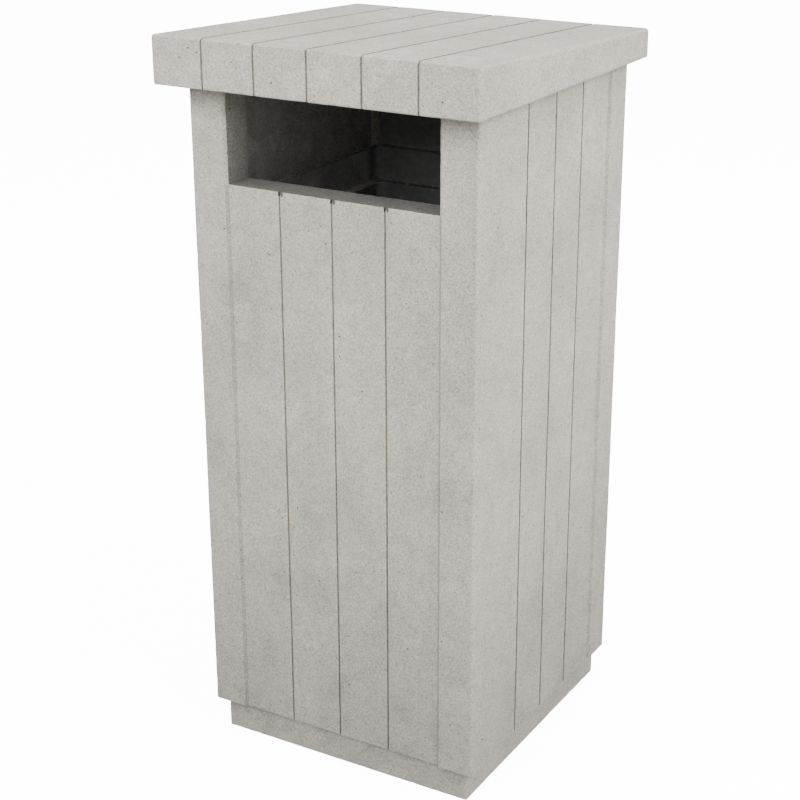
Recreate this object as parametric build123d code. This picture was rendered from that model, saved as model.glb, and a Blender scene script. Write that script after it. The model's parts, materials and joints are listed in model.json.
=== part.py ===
from build123d import *
import os
from math import atan2, degrees

# Litter bin of precast concrete with a plank pattern cast into its faces.
# Millimetres. Z is up and the base stands on z = 0. The waste slot faces -Y and the
# service door closes the back, at +Y. The origin is the middle of the footprint.

# --- Concrete body ---------------------------------------------------------------
body_width = 500
body_depth = 506
body_top = 1118
wall = 57
post_width = 61
corner_round = 6
panel_recess = 4.5
planks = 4
plank_joint_width = 6
plank_joint_depth = 4.5
arris = 1.5
plinth_height = 56
plinth_side_inset = 17
plinth_front_inset = 14
plinth_back_inset = 8
plinth_corner_round = 4
floor_top = 106
sill_height = 968
inner_corner_round = 10
drain_radius = 25
anchor_hole_radius = 9
anchor_spacing = 280

# --- Lid slab --------------------------------------------------------------------
lid_width = 553
lid_front_overhang = 51
lid_back_overhang = 17.5
lid_underside = 1121
lid_front_thickness = 76
lid_back_thickness = 46.5
lid_boards = 6
lid_board_pitch = 91.3
lid_corner_round = 5
lid_edge_round = 3
drip_groove_radius = 4
drip_groove_inset = 13
pad_length = 120
pad_width = 40
pad_offset = 120

# --- Fixings -------------------------------------------------------------------
socket_radius = 8
socket_length = 40
lid_socket_length = 30
m10_radius = 5
m10_across_flats = 17
m10_head_height = 6.4
m8_radius = 4
m8_across_flats = 13
m8_head_height = 5.3
washer_thickness = 2
bracket_leg = 40
bracket_length = 50
bracket_sheet = 4
bracket_stations = (-120, 120)
bracket_bolt_drop = 22
bracket_bolt_reach = 24

# --- Rear door -----------------------------------------------------------------
door_bottom = 110
door_top = 1114
door_sheet = 2
door_outer_face = body_depth / 2 - panel_recess
door_inner_face = body_depth / 2 - wall
door_hinge_edge = 190
door_free_edge = -188.5
door_free_edge_inner = -184
door_edge_round = 3
door_joint_press = 3.5
stiffener_stations = (330, 560, 790)
stiffener_width = 60
stiffener_lip = 15

# --- Hinges --------------------------------------------------------------------
pin_radius = 3
pin_clearance = 0.05
knuckle_radius = 6
leaf_thickness = 3
hinge_x = 191.5
hinge_y = body_depth / 2 + knuckle_radius
hinge_stations = (215, 612, 1009)
hinge_height = 90
knuckle_height = 30
knuckle_gap = 0.4
leaf_reach = 48
crank_start = 12
crank_end = 16
wall_bolt_reach = 30
door_rivet_reach = 34
leaf_bolt_offset = 28
leaf_rivet_radius = 3
leaf_rivet_head = 5.5
pin_head_radius = 5
pin_head_height = 3

# --- Quarter-turn lock ---------------------------------------------------------
lock_x = -150
lock_z = 640
lock_case_radius = 11
lock_flange_radius = 20
spindle_radius = 6
spindle_clearance = 0.05
key_recess_radius = 8.5
key_recess_depth = 10
key_drive_radius = 5
case_nut_radius = 17
nut_thickness = 5
cam_inner_face = 186.5
cam_thickness = 4
cam_reach = 40
cam_half_width = 9
keeper_gap = 0.5
stop_projection = 15
stop_leg = 40
stop_height = 60
stop_sheet = 3
stop_stations = (200, 1040)
stop_bolt_offset = 16
stop_bolt_setback = 26
buffer_clearance = 0.3
skin_rivet_radius = 2.4
skin_rivet_head = 4.5
skin_rivet_columns = (-120, 0, 120)

# --- Liner ---------------------------------------------------------------------
runner_x = 85
runner_width = 40
runner_thickness = 5
runner_lip_height = 17
runner_lip_thickness = 4
runner_end_gap = 3
runner_screw_stations = (-120, 120)
runner_screw_radius = 3
runner_screw_length = 30
plug_radius = 5
plug_length = 35
liner_clearance = 0.4
liner_half_width = 174
liner_half_depth = 177
liner_sheet = 2
liner_corner_round = 16
liner_body_top = 880.5
collar_half_width = 188
collar_half_depth = 191
collar_top = 943.5
collar_hem = 6
bail_pivot_z = 895
bail_rod_radius = 4
bail_half_width = 178.5
bail_reach = 181.5
bail_corner_round = 45
bail_eye_radius = 9
bail_eye_thickness = 3
bail_drop = 7.5
pivot_clearance = 0.05
pivot_head_radius = 7
pivot_gap = 0.4
liner_drain_radius = 5
liner_drain_offset = 110
collar_rivet_stations = (-120, 0, 120)

half_width = body_width / 2
half_depth = body_depth / 2
inner_half_width = half_width - wall
slot_half_width = half_width - post_width - panel_recess
runner_top = floor_top + runner_thickness
liner_bottom = runner_top + liner_clearance
lid_front = -half_depth - lid_front_overhang
lid_back = half_depth + lid_back_overhang
lid_depth = lid_back - lid_front
lid_half_width = lid_width / 2
bracket_bolt_z = body_top - bracket_bolt_drop
bracket_bolt_x = inner_half_width - bracket_bolt_reach
wall_bolt_x = hinge_x + wall_bolt_reach
door_rivet_x = hinge_x - door_rivet_reach
door_height = door_top - door_bottom
door_plank = (door_hinge_edge - door_free_edge) / planks
keeper_face = cam_inner_face + cam_thickness + keeper_gap
stop_bolt_y = keeper_face + stop_sheet - stop_bolt_setback
runner_half_length = liner_half_depth + runner_end_gap + runner_lip_thickness
collar_inner_x = collar_half_width - liner_sheet
bail_slope = degrees(atan2(bail_drop, bail_reach))


# --- Shared shapes ---------------------------------------------------------------

def block(x, y, z):
    """A box between the low and high value of each pair."""
    size = (x[1] - x[0], y[1] - y[0], z[1] - z[0])
    centre = ((x[0] + x[1]) / 2, (y[0] + y[1]) / 2, (z[0] + z[1]) / 2)
    return Pos(*centre) * Box(*size)


def rounded_block(x, y, z, radius):
    """A block whose upright edges are rounded."""
    solid = block(x, y, z)
    return fillet(solid.edges().filter_by(Axis.Z), radius)


def rod(start, direction, radius, length):
    """A round bar that starts at a point and runs along a direction."""
    return extrude(Plane(origin=start, z_dir=direction) * Circle(radius), length)


def tube(start, direction, radius, bore, length):
    """A round bar with a bore along its whole length."""
    ring = Circle(radius) - Circle(bore)
    return extrude(Plane(origin=start, z_dir=direction) * ring, length)


def profile(corners, height):
    """An upright prism on an outline of (x, y, corner radius)."""
    points = [(x, y) for x, y, _ in corners]
    radii = [radius for _, _, radius in corners]
    outline = FilletPolyline(points, radius=radii, close=True)
    return extrude(make_face(outline), height)


def hex_bolt(seat, direction, radius, flats, head, length):
    """A hexagon bolt: the head stands on the seat and the shank runs into it."""
    x, y, z = direction
    head_plane = Plane(origin=seat, z_dir=(-x, -y, -z))
    head_solid = extrude(head_plane * RegularPolygon(flats / 2, 6, major_radius=False), head)
    return head_solid + rod(seat, direction, radius, length)


def shifted(point, direction, distance):
    """The point moved along the direction."""
    return tuple(p + distance * d for p, d in zip(point, direction))


# --- Concrete body ---------------------------------------------------------------

def joint_corners(position, surface, inward):
    """The three corners of one plank joint, a V cut into a surface."""
    half = plank_joint_width / 2
    return [
        (position - half, surface, arris),
        (position, surface + inward * plank_joint_depth, arris / 2),
        (position + half, surface, arris),
    ]


def panelled_side(half_length):
    """Corners of one face, as (along, depth into the face, radius), left to right."""
    shoulder = half_length - post_width
    edge = shoulder - panel_recess
    plank = 2 * edge / planks
    corners = [(-half_length, 0, corner_round), (-shoulder, 0, arris), (-edge, panel_recess, arris)]
    for joint in range(1, planks):
        corners += joint_corners(-edge + joint * plank, panel_recess, 1)
    corners += [(edge, panel_recess, arris), (shoulder, 0, arris)]
    return corners


def body_plan():
    """Outline of the walls: three panelled faces and a channel open to the back."""
    front = [(u, v - half_depth, r) for u, v, r in panelled_side(half_width)]
    right = [(half_width - v, u, r) for u, v, r in panelled_side(half_depth)]
    left = [(v - half_width, -u, r) for u, v, r in panelled_side(half_depth)]
    channel = [
        (half_width, half_depth, corner_round),
        (inner_half_width, half_depth, arris),
        (inner_half_width, -half_depth + wall, inner_corner_round),
        (-inner_half_width, -half_depth + wall, inner_corner_round),
        (-inner_half_width, half_depth, arris),
    ]
    return front + right + channel + left


def floor_holes():
    """Four ground anchor holes and the drain, through floor and plinth."""
    half = anchor_spacing / 2
    holes = [rod((x, y, 0), (0, 0, 1), anchor_hole_radius, floor_top)
             for x in (-half, half) for y in (-half, half)]
    return holes + [rod((0, 0, 0), (0, 0, 1), drain_radius, floor_top)]


def body_shell():
    """Walls, floor and recessed plinth in one casting."""
    walls = Pos(0, 0, plinth_height) * profile(body_plan(), body_top - plinth_height)
    slot = block((-slot_half_width, slot_half_width), (-half_depth - 1, -half_depth + wall + 1),
                 (sill_height, body_top + 1))
    floor = block((-inner_half_width - 1, inner_half_width + 1),
                  (-half_depth + wall - 11, half_depth - panel_recess),
                  (plinth_height, floor_top))
    plinth = rounded_block((-half_width + plinth_side_inset, half_width - plinth_side_inset),
                           (-half_depth + plinth_front_inset, half_depth - plinth_back_inset),
                           (0, plinth_height), plinth_corner_round)
    shell = walls - slot + floor + plinth
    for hole in floor_holes() + socket_pockets():
        shell -= hole
    return shell


# --- Lid slab --------------------------------------------------------------------

def lid_top(y):
    """Height of the sloping top at a distance from front to back."""
    fall = (lid_front_thickness - lid_back_thickness) * (y - lid_front) / lid_depth
    return lid_underside + lid_front_thickness - fall


def joint_section(over):
    """V section of a joint between boards, its mouth widened past the surface."""
    half = plank_joint_width / 2 * (1 + over / plank_joint_depth)
    return Polygon((-half, -over), (half, -over), (0, plank_joint_depth), align=None)


def board_joint(x):
    """Cutters for one joint between boards: over the top and down front and back."""
    over = 2
    section = joint_section(over)
    start = Plane(origin=(x, lid_front - over, lid_top(lid_front - over)), x_dir=(1, 0, 0),
                  z_dir=(0, lid_depth, lid_back_thickness - lid_front_thickness))
    top = extrude(start * section, lid_depth + 2 * over)
    front = Pos(x, lid_front, lid_underside - over) * extrude(section, lid_front_thickness + 2 * over)
    back_section = Rot(0, 0, 180) * section
    back = Pos(x, lid_back, lid_underside - over) * extrude(back_section, lid_back_thickness + 2 * over)
    return [top, front, back]


def drip_groove():
    """Half-round groove under the overhang, along the front and both sides."""
    x = lid_half_width - drip_groove_inset
    y = lid_front + drip_groove_inset
    front = rod((-x, y, lid_underside), (1, 0, 0), drip_groove_radius, 2 * x)
    sides = [rod((side * x, y, lid_underside), (0, 1, 0), drip_groove_radius, lid_depth)
             for side in (-1, 1)]
    return [front] + sides


def lid_slab():
    """Overhanging slab whose top falls to the back, jointed like boards."""
    section = Polygon((lid_front, lid_underside), (lid_back, lid_underside),
                      (lid_back, lid_top(lid_back)), (lid_front, lid_top(lid_front)), align=None)
    slab = extrude(Plane.YZ * section, lid_half_width, both=True)
    slab = fillet(slab.edges().filter_by(Axis.Z), lid_corner_round)
    top = slab.faces().sort_by(Axis.Z)[-1]
    slab = fillet(top.edges(), lid_edge_round)
    bottom = slab.faces().sort_by(Axis.Z)[0]
    slab = fillet(bottom.edges(), lid_edge_round)
    first = -lid_half_width
    for joint in range(1, lid_boards):
        for cut in board_joint(first + joint * lid_board_pitch):
            slab -= cut
    for cut in drip_groove() + lid_pockets():
        slab -= cut
    return slab


def lid_bearing_pads():
    """Rubber strips on the wall tops, which the lid stands on."""
    pads = []
    for side in (-1, 1):
        for end in (-1, 1):
            x = side * (half_width - wall / 2)
            y = end * pad_offset
            pads.append(block((x - pad_width / 2, x + pad_width / 2),
                              (y - pad_length / 2, y + pad_length / 2), (body_top, lid_underside)))
    return pads


# --- Lid brackets ----------------------------------------------------------------

def bracket_places():
    return [(side, y) for side in (-1, 1) for y in bracket_stations]


def lid_bracket(side, y):
    """Steel angle in the corner between wall and lid."""
    wall_face = side * inner_half_width
    span = (y - bracket_length / 2, y + bracket_length / 2)
    upright = block(sorted((wall_face, wall_face - side * bracket_sheet)), span,
                    (lid_underside - bracket_leg, lid_underside))
    top = block(sorted((wall_face, wall_face - side * bracket_leg)), span,
                (lid_underside - bracket_sheet, lid_underside))
    angle = upright + top
    angle -= rod((wall_face, y, bracket_bolt_z), (-side, 0, 0), m10_radius, bracket_sheet)
    angle -= rod((side * bracket_bolt_x, y, lid_underside - bracket_sheet), (0, 0, 1),
                 m10_radius, bracket_sheet)
    return angle


def wall_bolt_seat(side, y):
    return (side * (inner_half_width - bracket_sheet), y, bracket_bolt_z)


def lid_bolt_seat(side, y):
    return (side * bracket_bolt_x, y, lid_underside - bracket_sheet)


def washer(seat, direction, radius):
    x, y, z = direction
    return tube(seat, (-x, -y, -z), 2 * radius, radius, washer_thickness)


def bracket_washers():
    rings = []
    for side, y in bracket_places():
        rings.append(washer(wall_bolt_seat(side, y), (side, 0, 0), m10_radius))
        rings.append(washer(lid_bolt_seat(side, y), (0, 0, 1), m10_radius))
    return rings


def m10_bolt(seat, direction, grip):
    """An M10 bolt whose head stands on a washer on the seat."""
    raised = shifted(seat, direction, -washer_thickness)
    return hex_bolt(raised, direction, m10_radius, m10_across_flats, m10_head_height,
                    grip + washer_thickness)


def socket(mouth, direction):
    """Cast-in threaded sleeve, flush with the concrete at its mouth."""
    return tube(mouth, direction, socket_radius, m10_radius, socket_length)


def m8_bolt(seat, direction, grip):
    """An M8 bolt through a plate and 30 mm into its sleeve."""
    return hex_bolt(seat, direction, m8_radius, m8_across_flats, m8_head_height, grip + 30)


def m8_socket(mouth, direction):
    return tube(mouth, direction, socket_radius, m8_radius, socket_length)


def bracket_socket_places():
    return [((side * inner_half_width, y, bracket_bolt_z), (side, 0, 0))
            for side, y in bracket_places()]


def lid_socket_places():
    return [((side * bracket_bolt_x, y, lid_underside), (0, 0, 1)) for side, y in bracket_places()]


def lid_pockets():
    return [rod(mouth, direction, socket_radius, lid_socket_length)
            for mouth, direction in lid_socket_places()]


def lid_sockets():
    return [tube(mouth, direction, socket_radius, m10_radius, lid_socket_length)
            for mouth, direction in lid_socket_places()]


# --- Hinges --------------------------------------------------------------------

def knuckle_levels(station, parts):
    """Low and high z of some of the three knuckles of a hinge."""
    low = station - hinge_height / 2
    return [(low + part * knuckle_height + knuckle_gap / 2,
             low + (part + 1) * knuckle_height - knuckle_gap / 2) for part in parts]


def knuckles(station, parts):
    bore = pin_radius + pin_clearance
    return [tube((hinge_x, hinge_y, low), (0, 0, 1), knuckle_radius, bore, high - low)
            for low, high in knuckle_levels(station, parts)]


def hinge_fixed_leaf(station):
    """Leaf on the rear post, with the upper and lower knuckles."""
    low = station - hinge_height / 2 + knuckle_gap / 2
    high = station + hinge_height / 2 - knuckle_gap / 2
    leaf = block((hinge_x + 0.5, hinge_x + leaf_reach), (half_depth, half_depth + leaf_thickness),
                 (low, high))
    middle = knuckle_levels(station, (1,))[0]
    leaf -= block((hinge_x, hinge_x + knuckle_radius + 1), (half_depth - 1, half_depth + 10),
                  (middle[0] - knuckle_gap, middle[1] + knuckle_gap))
    for knuckle in knuckles(station, (0, 2)):
        leaf += knuckle
    leaf -= rod((hinge_x, hinge_y, low), (0, 0, 1), pin_radius + pin_clearance, high - low)
    for z in (station - leaf_bolt_offset, station + leaf_bolt_offset):
        leaf -= rod((wall_bolt_x, half_depth, z), (0, 1, 0), m8_radius, leaf_thickness)
    return leaf


def hinge_door_leaf(station):
    """Cranked leaf on the door, with the middle knuckle."""
    low, high = knuckle_levels(station, (1,))[0]
    leaf_low = station - hinge_height / 2 + knuckle_gap
    leaf_high = station + hinge_height / 2 - knuckle_gap
    face = door_outer_face
    tongue = block((hinge_x - crank_end, hinge_x - 0.5), (half_depth, half_depth + leaf_thickness),
                   (low, high))
    web = block((hinge_x - crank_end, hinge_x - crank_start), (face, half_depth + leaf_thickness),
                (low, high))
    plate = block((hinge_x - leaf_reach - 4, hinge_x - crank_start), (face, face + leaf_thickness),
                  (leaf_low, leaf_high))
    leaf = tongue + web + plate + knuckles(station, (1,))[0]
    leaf -= rod((hinge_x, hinge_y, low), (0, 0, 1), pin_radius + pin_clearance, high - low)
    for z in (station - leaf_bolt_offset, station + leaf_bolt_offset):
        leaf -= rod((door_rivet_x, face, z), (0, 1, 0), leaf_rivet_radius, leaf_thickness)
    return leaf


def hinge_pin(station):
    """Pin with a wider head that rests on the upper knuckle."""
    low = station - hinge_height / 2 - pin_head_height
    high = station + hinge_height / 2 - knuckle_gap / 2
    shank = rod((hinge_x, hinge_y, low), (0, 0, 1), pin_radius, high - low)
    head = rod((hinge_x, hinge_y, high), (0, 0, 1), pin_head_radius, pin_head_height)
    return shank + head


def hinge_bolt_seats():
    return [(wall_bolt_x, half_depth + leaf_thickness, station + offset)
            for station in hinge_stations for offset in (-leaf_bolt_offset, leaf_bolt_offset)]


def hinge_wall_bolts():
    return [m8_bolt(seat, (0, -1, 0), leaf_thickness) for seat in hinge_bolt_seats()]


def hinge_socket_places():
    return [((x, half_depth, z), (0, -1, 0)) for x, _, z in hinge_bolt_seats()]


def hinge_door_rivets():
    """Low-headed rivets through the door leaves and the outer skin."""
    seats = [(door_rivet_x, door_outer_face + leaf_thickness, station + offset)
             for station in hinge_stations for offset in (-leaf_bolt_offset, leaf_bolt_offset)]
    grip = leaf_thickness + door_sheet
    return [rod(seat, (0, 1, 0), leaf_rivet_head, 2) + rod(seat, (0, -1, 0), leaf_rivet_radius, grip)
            for seat in seats]


# --- Rear door -----------------------------------------------------------------

def outer_skin_plan():
    """Folded sheet: outer face with pressed plank joints and a flange at each edge."""
    outer = door_outer_face
    inner_end = door_inner_face + door_sheet
    half = plank_joint_width / 2
    press = door_joint_press
    outside = [(door_free_edge_inner, inner_end, 0), (door_free_edge, outer, door_edge_round)]
    for joint in range(1, planks):
        x = door_free_edge + joint * door_plank
        outside += [(x - half, outer, arris), (x, outer - press, arris / 2), (x + half, outer, arris)]
    outside += [(door_hinge_edge, outer, door_edge_round), (door_hinge_edge, inner_end, 0)]
    inside = [(door_hinge_edge - door_sheet, inner_end, 0),
              (door_hinge_edge - door_sheet, outer - door_sheet, 1)]
    for joint in range(planks - 1, 0, -1):
        x = door_free_edge + joint * door_plank
        inside += [(x + half, outer - door_sheet, arris), (x, outer - door_sheet - press, arris),
                   (x - half, outer - door_sheet, arris)]
    inside += [(door_free_edge + door_sheet, outer - door_sheet, 1),
               (door_free_edge_inner + door_sheet, inner_end, 0)]
    return outside + inside


def lock_hole(near, far, radius):
    """Cutter along the lock's axis between two depths."""
    return rod((lock_x, near, lock_z), (0, 1, 0), radius, far - near)


def door_outer_skin():
    """Outer pan with its top and bottom closed by flanges."""
    skin = Pos(0, 0, door_bottom) * profile(outer_skin_plan(), door_height)
    back = door_inner_face + door_sheet
    front = door_outer_face - door_joint_press
    cap_plan = Polygon((door_free_edge_inner + 1, back), (door_hinge_edge - 1, back),
                       (door_hinge_edge - 1, front), (door_free_edge + 1, front), align=None)
    cap = extrude(cap_plan, door_sheet)
    skin = skin + Pos(0, 0, door_bottom) * cap + Pos(0, 0, door_top - door_sheet) * cap
    skin -= lock_hole(door_outer_face - 5, door_outer_face + 1, lock_case_radius + 0.05)
    for x, y, z in [(door_rivet_x, 0, s + o) for s in hinge_stations
                    for o in (-leaf_bolt_offset, leaf_bolt_offset)]:
        skin -= rod((x, door_outer_face - door_sheet, z), (0, 1, 0), leaf_rivet_radius, door_sheet)
    return skin


def door_inner_skin():
    """Flat sheet that closes the pan, inset from the flanges' outer faces."""
    sheet = block((door_free_edge_inner + 0.5, door_hinge_edge - 0.5),
                  (door_inner_face, door_inner_face + door_sheet),
                  (door_bottom + 0.5, door_top - 0.5))
    sheet -= lock_hole(door_inner_face - 1, door_inner_face + door_sheet + 1,
                       lock_case_radius + 0.05)
    for x, z in skin_rivet_places():
        sheet -= rod((x, door_inner_face, z), (0, 1, 0), skin_rivet_radius, door_sheet)
    return sheet


def stiffener(station):
    """Hat section across the inside of the door."""
    back = door_inner_face + door_sheet
    front = door_outer_face - door_sheet - door_joint_press
    half = stiffener_width / 2
    x = (door_free_edge + 8, door_hinge_edge - 4)
    web = block(x, (front - door_sheet, front), (station - half, station + half))
    sides = [block(x, (back, front), z) for z in
             ((station - half, station - half + door_sheet), (station + half - door_sheet, station + half))]
    lips = [block(x, (back, back + door_sheet), z) for z in
            ((station - half - stiffener_lip, station - half + door_sheet),
             (station + half - door_sheet, station + half + stiffener_lip))]
    hat = web + sides + lips
    for x_hole, z_hole in skin_rivet_places():
        if abs(z_hole - station) < half + stiffener_lip:
            hat -= rod((x_hole, back, z_hole), (0, 1, 0), skin_rivet_radius, door_sheet)
    return hat


def skin_rivet_places():
    """Rivets that hold the inner skin to the stiffeners' lips."""
    offset = stiffener_width / 2 + stiffener_lip / 2
    return [(x, station + side * offset) for station in stiffener_stations
            for side in (-1, 1) for x in skin_rivet_columns]


def skin_rivets():
    grip = 2 * door_sheet
    rivets = []
    for x, z in skin_rivet_places():
        head = rod((x, door_inner_face, z), (0, -1, 0), skin_rivet_head, 1.4)
        rivets.append(head + rod((x, door_inner_face, z), (0, 1, 0), skin_rivet_radius, grip))
    return rivets


# --- Lock ----------------------------------------------------------------------

def lock_case():
    """Flanged barrel through the door, with a recess for a three-sided key."""
    inner_end = door_inner_face - 3
    outer_end = door_outer_face
    barrel = lock_hole(inner_end, outer_end, lock_case_radius)
    flange = lock_hole(outer_end, outer_end + 4, lock_flange_radius)
    flange = chamfer(flange.faces().sort_by(Axis.Y)[-1].edges(), 1.5)
    case = barrel + flange
    case -= lock_hole(outer_end - key_recess_depth, outer_end + 5, key_recess_radius)
    case -= lock_hole(inner_end - 1, outer_end, spindle_radius + spindle_clearance)
    return case


def lock_case_nut():
    """Round nut behind the outer skin."""
    outer = door_outer_face - door_sheet
    return tube((lock_x, outer, lock_z), (0, -1, 0), case_nut_radius, lock_case_radius,
                nut_thickness)


def lock_spindle():
    """Spindle with a three-sided driving end and a threaded inner end."""
    shank_end = door_outer_face - key_recess_depth
    shank = lock_hole(cam_inner_face - nut_thickness - 1, shank_end, spindle_radius)
    drive_plane = Plane(origin=(lock_x, shank_end, lock_z), x_dir=(0, 0, 1), z_dir=(0, 1, 0))
    drive = extrude(drive_plane * RegularPolygon(key_drive_radius, 3), key_recess_depth)
    return shank + drive


def lock_cam():
    """Flat tongue that hangs down when the door is free to open."""
    outline = SlotCenterToCenter(cam_reach - cam_half_width, 2 * cam_half_width)
    centre_z = lock_z - (cam_reach - cam_half_width) / 2
    plane = Plane(origin=(lock_x, cam_inner_face, centre_z), x_dir=(0, 0, 1), z_dir=(0, 1, 0))
    tongue = extrude(plane * outline, cam_thickness)
    return tongue - lock_hole(cam_inner_face - 1, cam_inner_face + cam_thickness + 1, spindle_radius)


def lock_cam_nut():
    nut = Plane(origin=(lock_x, cam_inner_face, lock_z), z_dir=(0, -1, 0)) * (
        RegularPolygon(9.5, 6, major_radius=False) - Circle(spindle_radius))
    return extrude(nut, nut_thickness)


# --- Door stops and keeper -------------------------------------------------------

def stop_angle(station):
    """Angle on the left wall: one leg on the concrete, one behind the door's edge."""
    z = (station - stop_height / 2, station + stop_height / 2)
    face = -inner_half_width
    on_wall = block((face, face + stop_sheet), (keeper_face + stop_sheet - stop_leg,
                                                keeper_face + stop_sheet), z)
    behind = block((face, face + stop_projection), (keeper_face, keeper_face + stop_sheet), z)
    angle = on_wall + behind
    for z_hole in stop_bolt_levels(station):
        angle -= rod((face, stop_bolt_y, z_hole), (1, 0, 0), m8_radius, stop_sheet)
    return angle


def stop_bolt_levels(station):
    return (station - stop_bolt_offset, station + stop_bolt_offset)


def stop_bolt_seats():
    x = -inner_half_width + stop_sheet
    return [(x, stop_bolt_y, z) for station in stop_stations + (lock_z,)
            for z in stop_bolt_levels(station)]


def stop_bolts():
    return [m8_bolt(seat, (-1, 0, 0), stop_sheet) for seat in stop_bolt_seats()]


def stop_socket_places():
    return [((-inner_half_width, y, z), (-1, 0, 0)) for _, y, z in stop_bolt_seats()]


def door_buffer(station):
    """Rubber strip on the stop angle, just clear of the closed door."""
    face = -inner_half_width
    z = (station - stop_height / 2, station + stop_height / 2)
    front = keeper_face + stop_sheet
    return block((face + 1, face + stop_projection), (front, door_inner_face - buffer_clearance), z)


def socket_pockets():
    """Blind holes in the concrete that the threaded sleeves fill."""
    places = bracket_socket_places() + hinge_socket_places() + stop_socket_places()
    pockets = [rod(mouth, direction, socket_radius, socket_length) for mouth, direction in places]
    return pockets + [rod(mouth, direction, plug_radius, plug_length)
                      for mouth, direction in runner_plug_places()]


# --- Liner runners ---------------------------------------------------------------

def liner_runner(side):
    """Flat skid with an upturned lip at each end."""
    x = (side * runner_x - runner_width / 2, side * runner_x + runner_width / 2)
    runner = block(x, (-runner_half_length, runner_half_length), (floor_top, runner_top))
    for end in (-1, 1):
        y = sorted((end * runner_half_length, end * (runner_half_length - runner_lip_thickness)))
        runner += block(x, y, (floor_top, runner_top + runner_lip_height))
    for y in runner_screw_stations:
        runner -= rod((side * runner_x, y, floor_top), (0, 0, 1), runner_screw_radius,
                      runner_thickness)
        runner -= countersink(side * runner_x, y)
    return runner


def countersink(x, y):
    depth = runner_screw_radius
    cone = Cone(runner_screw_radius, runner_screw_radius + depth, depth)
    return Pos(x, y, runner_top - depth / 2) * cone


def runner_screws():
    screws = []
    for side in (-1, 1):
        for y in runner_screw_stations:
            x = side * runner_x
            shank = rod((x, y, floor_top - runner_screw_length), (0, 0, 1), runner_screw_radius,
                        runner_screw_length + runner_thickness - runner_screw_radius)
            screws.append(shank + countersink(x, y))
    return screws


def runner_plug_places():
    return [((side * runner_x, y, floor_top), (0, 0, -1)) for side in (-1, 1)
            for y in runner_screw_stations]


def runner_plugs():
    return [rod(mouth, direction, plug_radius, plug_length)
            - rod(mouth, direction, runner_screw_radius, runner_screw_length)
            for mouth, direction in runner_plug_places()]


# --- Liner ---------------------------------------------------------------------

def hollow(half_x, half_y, z, sheet, radius):
    """A rectangular sleeve of sheet metal with rounded upright edges."""
    outer = rounded_block((-half_x, half_x), (-half_y, half_y), z, radius)
    inner = rounded_block((sheet - half_x, half_x - sheet), (sheet - half_y, half_y - sheet),
                          (z[0] - 1, z[1] + 1), radius - sheet)
    return outer - inner


def ledge(outer_x, outer_y, outer_radius, z):
    """Flat flange between an outer rectangle and the liner's mouth."""
    outer = rounded_block((-outer_x, outer_x), (-outer_y, outer_y), z, outer_radius)
    mouth_x = liner_half_width - liner_sheet
    mouth_y = liner_half_depth - liner_sheet
    mouth = rounded_block((-mouth_x, mouth_x), (-mouth_y, mouth_y), (z[0] - 1, z[1] + 1),
                          liner_corner_round - liner_sheet)
    return outer - mouth


def liner_body():
    """Open sheet-metal container with a flange around its mouth."""
    walls = hollow(liner_half_width, liner_half_depth, (liner_bottom, liner_body_top), liner_sheet,
                   liner_corner_round)
    bottom = rounded_block((-liner_half_width, liner_half_width),
                           (-liner_half_depth, liner_half_depth),
                           (liner_bottom, liner_bottom + liner_sheet), liner_corner_round)
    flange = ledge(collar_half_width - 1, collar_half_depth - 1, liner_corner_round,
                   (liner_body_top - liner_sheet, liner_body_top))
    liner = walls + bottom + flange
    for x in (-liner_drain_offset, liner_drain_offset):
        for y in (-liner_drain_offset, liner_drain_offset):
            liner -= rod((x, y, liner_bottom), (0, 0, 1), liner_drain_radius, liner_sheet)
    for x, y in collar_rivet_places():
        liner -= rod((x, y, liner_body_top - liner_sheet), (0, 0, 1), skin_rivet_radius, liner_sheet)
    return liner


def liner_collar():
    """Wider band above the liner, on a ledge, with a hemmed top edge."""
    band = hollow(collar_half_width, collar_half_depth, (liner_body_top, collar_top), liner_sheet,
                  liner_corner_round)
    hem = hollow(collar_half_width, collar_half_depth, (collar_top - collar_hem, collar_top),
                 2 * liner_sheet, liner_corner_round)
    shelf = ledge(collar_half_width, collar_half_depth, liner_corner_round,
                  (liner_body_top, liner_body_top + liner_sheet))
    collar = band + hem + shelf
    for x, y in collar_rivet_places():
        collar -= rod((x, y, liner_body_top), (0, 0, 1), skin_rivet_radius, liner_sheet)
    for side in (-1, 1):
        start = (side * collar_inner_x, 0, bail_pivot_z)
        collar -= rod(start, (side, 0, 0), bail_rod_radius, liner_sheet)
    return collar


def collar_rivet_places():
    x = liner_half_width + 5
    y = liner_half_depth + 5
    along_y = [(side * x, step) for side in (-1, 1) for step in collar_rivet_stations]
    along_x = [(step, side * y) for side in (-1, 1) for step in collar_rivet_stations]
    return along_y + along_x


def collar_rivets():
    """Rivets flush with the ledge, so that the bail can lie on it, with heads below."""
    grip = 2 * liner_sheet
    bottom = liner_body_top - liner_sheet
    return [rod((x, y, bottom), (0, 0, 1), skin_rivet_radius, grip)
            + rod((x, y, bottom), (0, 0, -1), skin_rivet_head, 1.2)
            for x, y in collar_rivet_places()]


# --- Bail handle ---------------------------------------------------------------

def bail_pivot(side):
    """Shouldered stud through the collar: tail, shank and inner head."""
    spacer_start = bail_half_width + bail_rod_radius + pivot_gap
    head_start = bail_half_width + bail_rod_radius - bail_eye_thickness - pivot_gap

    def disc(x, direction, radius, length):
        return rod((side * x, 0, bail_pivot_z), (side * direction, 0, 0), radius, length)

    tail = disc(collar_half_width, 1, pivot_head_radius, 2)
    shank = disc(head_start, 1, bail_rod_radius, collar_half_width - head_start)
    spacer = disc(spacer_start, 1, pivot_head_radius, collar_inner_x - spacer_start)
    head = disc(head_start, -1, pivot_head_radius, 2.5)
    return tail + shank + spacer + head


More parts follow.
